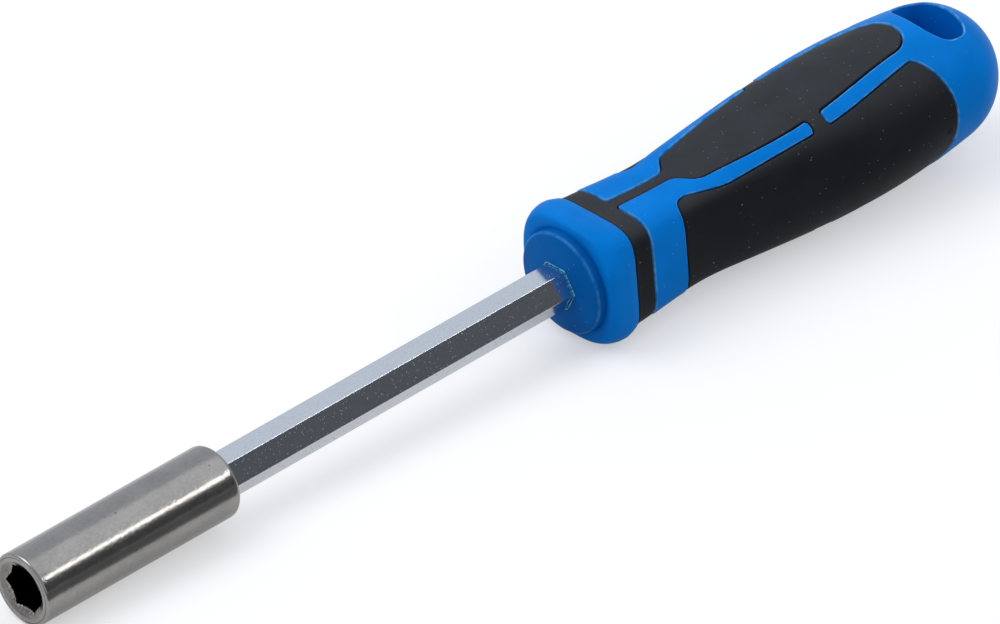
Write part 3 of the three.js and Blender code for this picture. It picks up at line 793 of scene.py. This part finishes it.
def makeHandleBody():
    f, g, edge, margin = handleForm, gripForm, gripForm["halfGap"], holeForm["margin"]
    net, wall = cutGripEdge(edge, g["hardRound"], 1.0)
    cutAlong(net, holeDistance, margin, gridForm["holeSnap"])
    h, angle, tris = net["h"], net["angle"], net["tris"]
    onWall, distance = fromEdge(net, wall, edge)
    centre = distance[tris].mean(1)
    skin, bed = tris[centre > edge], tris[centre <= edge]
    hole = holeDistance(h, angle)
    skin = skin[hole[skin].mean(1) > margin]
    drop, slope = edgeDrop(distance - edge, g["hardRound"])
    points = skinPoint(h, angle, drop)
    normals = skinNormals(h, angle, slope, 1.0)
    under = skinPoint(h, angle, -(g["thickness"] + g["bedGap"]))
    count = len(h)
    allPoints = [points, under]
    faces = skin.tolist() + (bed + count).tolist()
    border = borderOf(skin)
    walls = border[onWall[border].all(1)]
    faces += [(j, i, i + count, j + count) for i, j in walls.tolist()]
    start = 2 * count
    litFrom, litTo = (edge + share * g["hardRound"] for share in g["paleEdge"])
    # pale hard edges: wear together with a painted highlight
    wearAndHighlight = [1 - smoothStep(distance, litFrom, litTo), np.zeros(count)]
    # hanging hole
    rimEdges = border[(np.abs(hole[border] - margin) < holeForm["rimReach"]).all(1)]
    lipStart = holeForm["skinRings"]
    lipEnd = lipStart + holeForm["lipRings"]
    ends = []
    for side in (1.0, -1.0):
        loop = np.unique(rimEdges[points[rimEdges[:, 0], 2] * side > 0])
        loop, turn, rings = holeWall(points, loop, side)
        last, n = loop, len(loop)
        for row, ring in enumerate(rings[:-1]):
            fresh = np.arange(start, start + n)
            allPoints.append(ring)
            # the hole's lip rings are marked paler: a painted highlight with wear
            wearAndHighlight.append(np.full(n, float(lipStart <= row < lipEnd - 1)))
            start += n
            for k in range(n):
                quad = (last[k], last[(k + 1) % n], fresh[(k + 1) % n], fresh[k])
                faces.append(quad[::-1] if side > 0 else quad)
            last = fresh
        ends.append((last, turn))
    (topLoop, topTurn), (lowLoop, lowTurn) = ends
    faces += zipLoops(topLoop.tolist(), topTurn, lowLoop.tolist(), lowTurn)
    # front face, bore and rear pole
    columns = gridForm["columns"]
    ringAngle = fullTurn(columns)
    boreY, boreZ = f["boreRadius"] * np.cos(ringAngle), f["boreRadius"] * np.sin(ringAngle)
    for depth in (0.0, f["boreDepth"]):
        allPoints.append(np.stack([np.full(columns, -f["collarFront"] - depth), boreY, boreZ], -1))
    poles = (f["boreDepth"], handleEnd)
    allPoints.append(np.array([[-f["collarFront"] - t, 0, 0] for t in poles]))
    mouth, bottom = start, start + columns
    boreEnd, pole = start + 2 * columns, start + 2 * columns + 1
    lastRow = (net["rows"] - 1) * columns
    for k in range(columns):
        n = (k + 1) % columns
        faces.append((k, n, mouth + n, mouth + k))
        faces.append((mouth + k, mouth + n, bottom + n, bottom + k))
        faces.append((bottom + k, bottom + n, boreEnd))
        faces.append((lastRow + n, lastRow + k, pole))
    everything = np.vstack(allPoints)
    wearAndHighlight = np.concatenate(wearAndHighlight + [np.zeros(2 * columns + 2)])
    shade = faceNormals(everything, faces)
    shade[:count] = np.where((distance >= edge - 1e-6)[:, None], normals, shade[:count])
    shade[lastRow:lastRow + columns] = (-1, 0, 0)
    shade[pole] = (-1, 0, 0)
    points, faces, shade, wearAndHighlight = usedOnly(everything, faces, shade, wearAndHighlight)
    makePiece("handleShell", points, faces, "body", "handle_body", shade,
              marks={"edgeWearAndHighlight": wearAndHighlight})


def makeGrip():
    g, edge = gripForm, -gripForm["halfGap"]
    net, wall = cutGripEdge(edge, g["softRound"], -1.0)
    h, angle, tris = net["h"], net["angle"], net["tris"]
    _, distance = fromEdge(net, wall, edge)
    skin = tris[distance[tris].mean(1) < edge]
    drop, slope = edgeDrop(edge - distance, g["softRound"])
    points = skinPoint(h, angle, drop - g["sunk"])
    normals = skinNormals(h, angle, slope, -1.0)
    under = skinPoint(h, angle, -g["thickness"])
    count = len(h)
    border = borderOf(skin)
    faces = skin.tolist() + (skin[:, ::-1] + count).tolist()
    faces += [(j, i, i + count, j + count) for i, j in border.tolist()]
    everything = np.vstack([points, under])
    shade = faceNormals(everything, faces)
    shade[:count] = normals
    points, faces, shade = usedOnly(everything, faces, shade)
    makePiece("gripSkin", points, faces, "grip", "soft_grip", shade)


makeHandleBody()
makeGrip()


# rings along the axis joined by quads: closed on themselves, or with lids at both ends
def loftRings(rings, lids=False):
    n, count = len(rings[0]), len(rings)
    faces = []
    for r in range(count - 1 if lids else count):
        s = (r + 1) % count
        for k in range(n):
            m = (k + 1) % n
            faces.append((r * n + k, s * n + k, s * n + m, r * n + m))
    if lids:
        faces.append(tuple(range(n)))
        faces.append(tuple(reversed(range((count - 1) * n, count * n))))
    return np.vstack(rings), faces


def ringAt(t, radius, angles):
    radius = np.broadcast_to(radius, angles.shape)
    t = np.broadcast_to(t, angles.shape)
    return np.stack([-t, radius * np.cos(angles), radius * np.sin(angles)], -1)


def hexRadius(angles, acrossFlats, cornerRound):
    # hexagon with a corner on Y and rounded corners
    folded = (angles + math.pi / 6) % (math.pi / 3) - math.pi / 6
    flat = acrossFlats / 2 / np.cos(math.pi / 6 - np.abs(folded))
    middle = (acrossFlats / 2 - cornerRound) / math.cos(math.pi / 6)
    inside = np.maximum(cornerRound ** 2 - (middle * np.sin(folded)) ** 2, 0.0)
    tip = middle * np.cos(folded) + np.sqrt(inside)
    limit = math.atan2(cornerRound * 0.5, middle + cornerRound * math.cos(math.pi / 6))
    return np.where(np.abs(folded) <= limit, tip, flat)


def arcSteps(count, low, high):
    return [math.radians(low + (high - low) * i / count) for i in range(count + 1)]


sleeveForm = {
    "length": 36.0, "radius": 5.5, "mouthRound": 0.4, "backRound": 1.0, "leadIn": 4.4, "leadSlope": 0.62,
    "flats": 6.5, "corner": 0.05, "depth": 13.0, "pocket": 2.9, "pocketEnd": 17.4,
    "shankFlats": 6.4, "shankCorner": 0.6,
    "groove": (4.35, 5.65, 4.125), "sides": 300,
    "rimLine": (4.98, 0.09, 0.05, 0.01),  # a fine turned line in the rim: radius, depth, half widths
    "burr": 0.2, "burrDeep": 0.02,  # torn metal that stands into the socket at its lower edges
    "tearWaves": ((19, 0.4), (31, 2.1), (47, 1.3), (71, 0.2)),
    "tearTurn": 0.35, "tearFade": (0.1, 0.6), "tearMost": (0.35, 0.6),
    "upperTear": (2.7, 0.22, 0.9),  # angle, reach and size of the tear at the top
    "edgeSoft": 0.05, "rimSoft": 0.03, "rimInset": 0.04,  # rounds at the hexagon's edge and the rim
    # the socket and its lead-in are painted dark: painted shade of the recess
    "leadBend": 0.7, "leadPaintedShade": 0.3, "paintedShadeFrom": 0.35,
    "roundSteps": 8, "wallMargin": 2.0, "wallSteps": 9,
}


def makeSleeve():
    f = sleeveForm
    angles = fullTurn(f["sides"])
    socket = hexRadius(angles, f["flats"], f["corner"])
    back = hexRadius(angles, f["shankFlats"], f["shankCorner"])
    m, b = f["mouthRound"], f["backRound"]
    # ragged burr from a few waves, strongest along the lower edges of the hexagon
    wave = sum(np.sin(k * angles + p) for k, p in f["tearWaves"]) / len(f["tearWaves"])
    below, above = (np.clip(wave + most, 0.0, 1.0) for most in f["tearMost"])
    tearAt, tearReach, tearSize = f["upperTear"]
    torn = np.maximum(below * smoothStep(-np.sin(angles + f["tearTurn"]), *f["tearFade"]),
                      tearSize * np.exp(-((angles - tearAt) / tearReach) ** 2) * above)
    cone = f["leadIn"] - socket
    lead = cone * f["leadSlope"]
    rings, burrs, paintedShade = [], [], []

    def ring(t, radius, burr=0.0, paintedShadeShare=0.0):
        rings.append(ringAt(t, radius, angles))
        burrs.append(np.broadcast_to(burr, angles.shape))
        paintedShade.append(np.broadcast_to(paintedShadeShare, angles.shape))

    lineAt, lineDeep, lineTop, lineFoot = f["rimLine"]
    # inside the socket and on the lead-in the steel is painted dark as shade
    ring(lead + f["paintedShadeFrom"], socket, 0.0, 1.0)
    ring(lead + f["burrDeep"], socket - f["burr"] * torn, torn)
    ring(lead - f["edgeSoft"], socket + f["edgeSoft"] - 0.5 * f["burr"] * torn, torn)
    ring(lead * f["leadBend"], f["leadIn"] - cone * f["leadBend"], 0.8 * torn, f["leadPaintedShade"])
    ring(f["rimSoft"], f["leadIn"] - f["rimInset"], 0.0, f["leadPaintedShade"])
    ring(0.0, f["leadIn"] + f["rimSoft"])
    for r, t in ((-lineTop, 0.0), (-lineFoot, lineDeep), (lineFoot, lineDeep), (lineTop, 0.0)):
        ring(t, lineAt + r)
    for a in arcSteps(f["roundSteps"], 180, 90):
        ring(m + m * math.cos(a), f["radius"] - m + m * math.sin(a))
    for t in np.linspace(f["wallMargin"], f["length"] - f["wallMargin"], f["wallSteps"]):
        ring(t, f["radius"])
    for a in arcSteps(f["roundSteps"], 90, 0):
        ring(f["length"] - b + b * math.cos(a), f["radius"] - b + b * math.sin(a))
    ring(f["length"], back)
    ring(f["pocketEnd"], back)
    ring(f["pocketEnd"], f["pocket"])
    # the socket's floor and the ring groove are painted dark as shade too
    ring(f["depth"], f["pocket"], 0.0, 1.0)
    ring(f["depth"], socket, 0.0, 1.0)
    front, rear, deep = f["groove"]
    for t, r in ((rear, socket), (rear, deep), (front, deep), (front, socket)):
        ring(t, r, 0.0, 1.0)
    points, faces = loftRings(rings)
    makePiece("bitSleeve", points, faces, "sleeve", "bit_sleeve", sharpAngle=28,
              marks={"edgeWearAndHighlight": np.concatenate(burrs), "paintedShade": np.concatenate(paintedShade)})


shankForm = {
    "front": 17.4, "tail": 155.0, "flats": 6.0, "corner": 0.13,
    "notches": (147.0, 132.0), "notchHalf": 1.5, "notchRadius": 2.7,
    "cornerReach": 0.024, "cornerSteps": 7, "faceAngles": (0.2, 0.36, math.pi / 6, 0.69, 0.85),
    "visible": (36.0, 100.0), "visibleSteps": 9,
}


def makeShank():
    f = shankForm
    corner = np.linspace(-f["cornerReach"], f["cornerReach"], f["cornerSteps"])
    sixth = np.concatenate([corner, f["faceAngles"]])
    angles = np.concatenate([k * math.pi / 3 + sixth for k in range(6)])
    hexagon = hexRadius(angles, f["flats"], f["corner"])
    places = [(t, True) for t in (f["front"], *np.linspace(*f["visible"], f["visibleSteps"]))]
    for middle in sorted(f["notches"]):
        low, high = middle - f["notchHalf"], middle + f["notchHalf"]
        places += [(low, True), (low, False), (high, False), (high, True)]
    places.append((f["tail"], True))
    notched = np.minimum(hexagon, f["notchRadius"])
    rings = [ringAt(t, hexagon if full else notched, angles) for t, full in places]
    points, faces = loftRings(rings, lids=True)
    makePiece("hexShank", points, faces, "shank", "hex_shank", sharpAngle=24)


bossForm = {
    "front": 100.0, "back": 101.96, "radius": 7.85, "round": 0.75,
    "fall": 0.4,  # the domed face falls off to its rim
    "hole": 6.1, "holeCorner": 0.45, "holeRound": 0.12, "bottom": 155.2, "pole": 0.05,
    "rodRadius": 4.9, "fluteDepth": 0.6, "flutes": 6, "rodEnd": 160.0,
    "sides": 144, "faceSteps": (0.04, 0.2, 0.45, 0.7, 0.9), "roundSteps": 8, "litSteps": (4, 5, 6),
}


def makeBoss():
    f = bossForm
    angles = fullTurn(f["sides"])
    hole = hexRadius(angles, f["hole"], f["holeCorner"])
    rod = f["rodRadius"] - f["fluteDepth"] * (1 - np.cos(f["flutes"] * angles)) / 2
    shelf = f["radius"] - f["round"]
    rings = [ringAt(f["bottom"], hole, angles), ringAt(f["front"] + f["holeRound"], hole, angles)]
    for u in f["faceSteps"]:
        rings.append(ringAt(f["front"] + f["fall"] * u * u, hole + (shelf - hole) * u, angles))
    lit = [len(rings) + step for step in f["litSteps"]]
    for a in arcSteps(f["roundSteps"], 180, 90):
        depth = f["fall"] + f["round"] * (1 + math.cos(a))
        rings.append(ringAt(f["front"] + depth, shelf + f["round"] * math.sin(a), angles))
    for t, radius in ((f["back"], f["radius"]), (f["back"], rod), (f["rodEnd"], rod),
                      (f["rodEnd"], f["pole"]), (f["bottom"], f["pole"])):
        rings.append(ringAt(t, radius, angles))
    points, faces = loftRings(rings)
    # the rows of the rim's round are marked paler: a painted highlight on the lit rim
    rim = np.repeat([float(row in lit) for row in range(len(rings))], f["sides"])
    makePiece("coreBoss", points, faces, "core", "inner_core", sharpAngle=35,
              marks={"edgeWearAndHighlight": rim})


# a thin bead of flash that the moulding pressed out round the shank
flashForm = {
    "front": 99.98, "flats": 6.16, "corner": 0.2, "thin": 0.03, "thick": 0.13, "sides": 360, "round": 8,
    "waves": ((7, 0.3), (11, 1.9), (17, 0.8), (29, 2.6), (43, 1.1)), "middle": 0.55, "swing": 0.25,
}


def makeFlash():
    f = flashForm
    angles = fullTurn(f["sides"])
    wave = sum(np.sin(k * angles + p) for k, p in f["waves"])
    size = f["thin"] + (f["thick"] - f["thin"]) * np.clip(f["middle"] + f["swing"] * wave, 0.0, 1.0)
    inner = hexRadius(angles, f["flats"], f["corner"])
    rings = []
    for k in range(f["round"]):
        a = -2 * math.pi * k / f["round"]
        t, radius = f["front"] - size * (1 - math.cos(a)), inner + size * (1 + math.sin(a))
        rings.append(ringAt(t, radius, angles))
    points, faces = loftRings(rings)
    makePiece("flashBead", points, faces, "flash", None)


makeSleeve()
makeShank()
makeBoss()
makeFlash()

for nodeName, finish in (("retaining_ring", "ring"), ("socket_magnet", "magnet")):
    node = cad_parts[nodeName]
    node.data.materials.clear()
    node.data.materials.append(finishes[finish])
print("inner pieces finished")


stageForm = {
    "floorSize": 6.0,
    "floorColor": (0.600, 0.592, 0.582),
    "floorCloud": (0.985, 6.0, 2.0),  # darkest share, scale and detail
    "matt": {"Roughness": 0.9, "Specular IOR Level": 0.1},
    "floorGap": 0.1,  # mm under the tool
    "floorGlow": 0.46,  # lifts the floor to white for the eye
    "floorShine": 0.25,  # and, less, in reflections
    "skyLevel": 0.70,
    "skyColor": (0.90, 0.97, 1.08, 1.0),
    "tipSide": (-0.2, 0.7), "tipSideDim": 0.8,  # the sky beyond the tip is a little darker
    "darkSide": (-0.56, 0.81, 0.16),  # an unlit part of the room that darkens the faces turned to it
    "darkLevel": 0.13,
    "darkReach": (16.0, 36.0),  # degrees: fully dark inside, gone outside
}
lamps = {
    # name: towards, distance, size, watts
    "rearSoftbox": ((-0.50, 0.20, 0.84), 0.9, (0.75, 0.75), 0.65),
    "frontSoftbox": ((0.35, -0.35, 0.87), 0.9, (0.60, 0.60), 2.75),
    "rightStrip": ((-0.54, 0.63, 0.56), 0.8, (0.40, 0.065), 0.62),
}


def floorHeight(x):
    # the tool lies on its belly and on the sleeve, so the floor rises a little to the mouth
    bellyAt = max(handleForm["stations"], key=lambda station: station[1])[0]
    bellyX = mouthX - (handleForm["collarFront"] + bellyAt) * mm
    slope = (sleeveLow.z - cadLow.z) / (mouthX - bellyX)
    return cadLow.z - stageForm["floorGap"] * mm + (x - bellyX) * slope


def makeSheet(name, corners, finish, color, cloud):
    mesh = bpy.data.meshes.new(name)
    mesh.from_pydata(corners, [], [(0, 1, 2, 3)])
    sheet = bpy.data.objects.new(name, mesh)
    bpy.context.scene.collection.objects.link(sheet)
    material, tree, shader = newMaterial(finish)
    darkest, scale, detail = cloud
    mottled = noise(tree, objectPlace(tree), scale, detail)
    base = mixColor(tree, mottled, scaled(color, darkest), scaled(color, 1.0))
    feed(tree, shader, {"Base Color": base, **stageForm["matt"]})
    mesh.materials.append(material)
    return sheet, tree, shader


def makeFloor():
    f = stageForm
    size = f["floorSize"]
    corners = [(x * size, y * size, floorHeight(x * size))
               for x, y in ((-1, -1), (1, -1), (1, 1), (-1, 1))]
    floor, tree, shader = makeSheet("paleFloor", corners, "palePaper", f["floorColor"], f["floorCloud"])
    path = addNode(tree, "ShaderNodeLightPath").outputs
    reflected = combine(tree, "MAXIMUM", path["Is Glossy Ray"], path["Is Transmission Ray"])
    glow = combine(tree, "MULTIPLY", path["Is Camera Ray"], f["floorGlow"])
    glow = combine(tree, "MAXIMUM", glow, combine(tree, "MULTIPLY", reflected, f["floorShine"]))
    feed(tree, shader, {"Emission Color": (1.0, 1.0, 1.0, 1.0), "Emission Strength": glow})


def makeSky():
    f = stageForm
    world = bpy.data.worlds.new("studio")
    bpy.context.scene.world = world
    world.use_nodes = True
    tree = world.node_tree
    towards = addNode(tree, "ShaderNodeTexCoord").outputs["Generated"]
    along = addNode(tree, "ShaderNodeSeparateXYZ", {0: towards}).outputs["X"]
    level = remap(tree, along, *f["tipSide"], f["skyLevel"], f["skyLevel"] * f["tipSideDim"])
    pair = {0: towards, 1: Vector(f["darkSide"]).normalized()}
    side = addNode(tree, "ShaderNodeVectorMath", pair, operation="DOT_PRODUCT").outputs["Value"]
    inner, outer = (math.cos(math.radians(a)) for a in f["darkReach"])
    shade = remap(tree, side, outer, inner, 1.0, f["darkLevel"])
    feed(tree, tree.nodes["Background"], {"Color": f["skyColor"],
                                          "Strength": combine(tree, "MULTIPLY", level, shade)})


def makeLamp(name, towards, distance, size, watts):
    data = bpy.data.lights.new(name, "AREA")
    data.shape, data.size, data.size_y = "RECTANGLE", size[0], size[1]
    data.energy = watts
    lamp = bpy.data.objects.new(name, data)
    lamp.location = Vector(towards).normalized() * distance
    lamp.rotation_euler = Vector(towards).to_track_quat("Z", "Y").to_euler()
    bpy.context.scene.collection.objects.link(lamp)


# a dark card beside the tool, seen only in the shine of the metal
cardForm = {
    "near": 17.0, "far": 400.0, "fromX": -500.0, "toX": 300.0, "above": 0.6,
    "color": (0.17, 0.17, 0.165), "fuzz": (0.8, 900.0, 3.0),
}


def makeCard():
    f = cardForm
    corners = [(f["fromX"], f["near"]), (f["toX"], f["near"]),
               (f["toX"], f["far"]), (f["fromX"], f["far"])]
    points = [(x * mm, y * mm, floorHeight(x * mm) + f["above"] * mm) for x, y in corners]
    card, _, _ = makeSheet("darkCard", points, "darkFelt", f["color"], f["fuzz"])
    card.visible_camera = card.visible_diffuse = card.visible_shadow = False


makeFloor()
makeCard()
makeSky()
for lampName, settings in lamps.items():
    makeLamp(lampName, *settings)
bpy.context.scene.view_settings.view_transform = "Standard"
print("stage and lights set")
